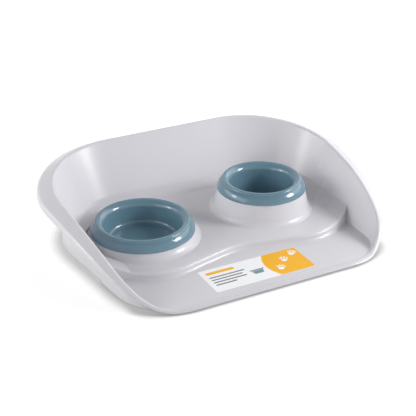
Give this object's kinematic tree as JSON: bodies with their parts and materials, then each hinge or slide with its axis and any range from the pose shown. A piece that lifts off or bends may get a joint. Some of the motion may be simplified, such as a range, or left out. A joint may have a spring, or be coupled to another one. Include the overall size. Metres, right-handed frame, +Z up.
{
  "type": "double pet bowl",
  "caption": "Splash-guard feeding tray with a raised shallow bowl and a taller deep bowl, both lifting out of round pedestals above a low open front.",
  "frame": {"origin": "on the floor under the feet, at the centre of the tray's outline seen from above", "axes": "+X to the right along the tray's width, +Y from the open front to the splash guard, +Z up"},
  "size_m": [0.467, 0.3648, 0.0977],
  "materials": {
    "tray_white": "satin",
    "bowl_blue_grey": "gloss",
    "label_print": "printed film",
    "foot_rubber": "matte"
  },
  "bodies": {
    "tray": {"tray": "tray_white", "shelf_label": "label_print", "foot_front_left": "foot_rubber", "foot_front_right": "foot_rubber", "foot_rear_left": "foot_rubber", "foot_rear_right": "foot_rubber"},
    "shallow_bowl": {"shallow_bowl": "bowl_blue_grey"},
    "deep_bowl": {"deep_bowl": "bowl_blue_grey"}
  },
  "joints": [
    {"name": "shallow_bowl_lift", "type": "slide", "parent": "tray", "child": "shallow_bowl", "axis": [0, 0, 1], "range_m": [0, 0.105]},
    {"name": "deep_bowl_lift", "type": "slide", "parent": "tray", "child": "deep_bowl", "axis": [0, 0, 1], "range_m": [0, 0.105]}
  ]
}
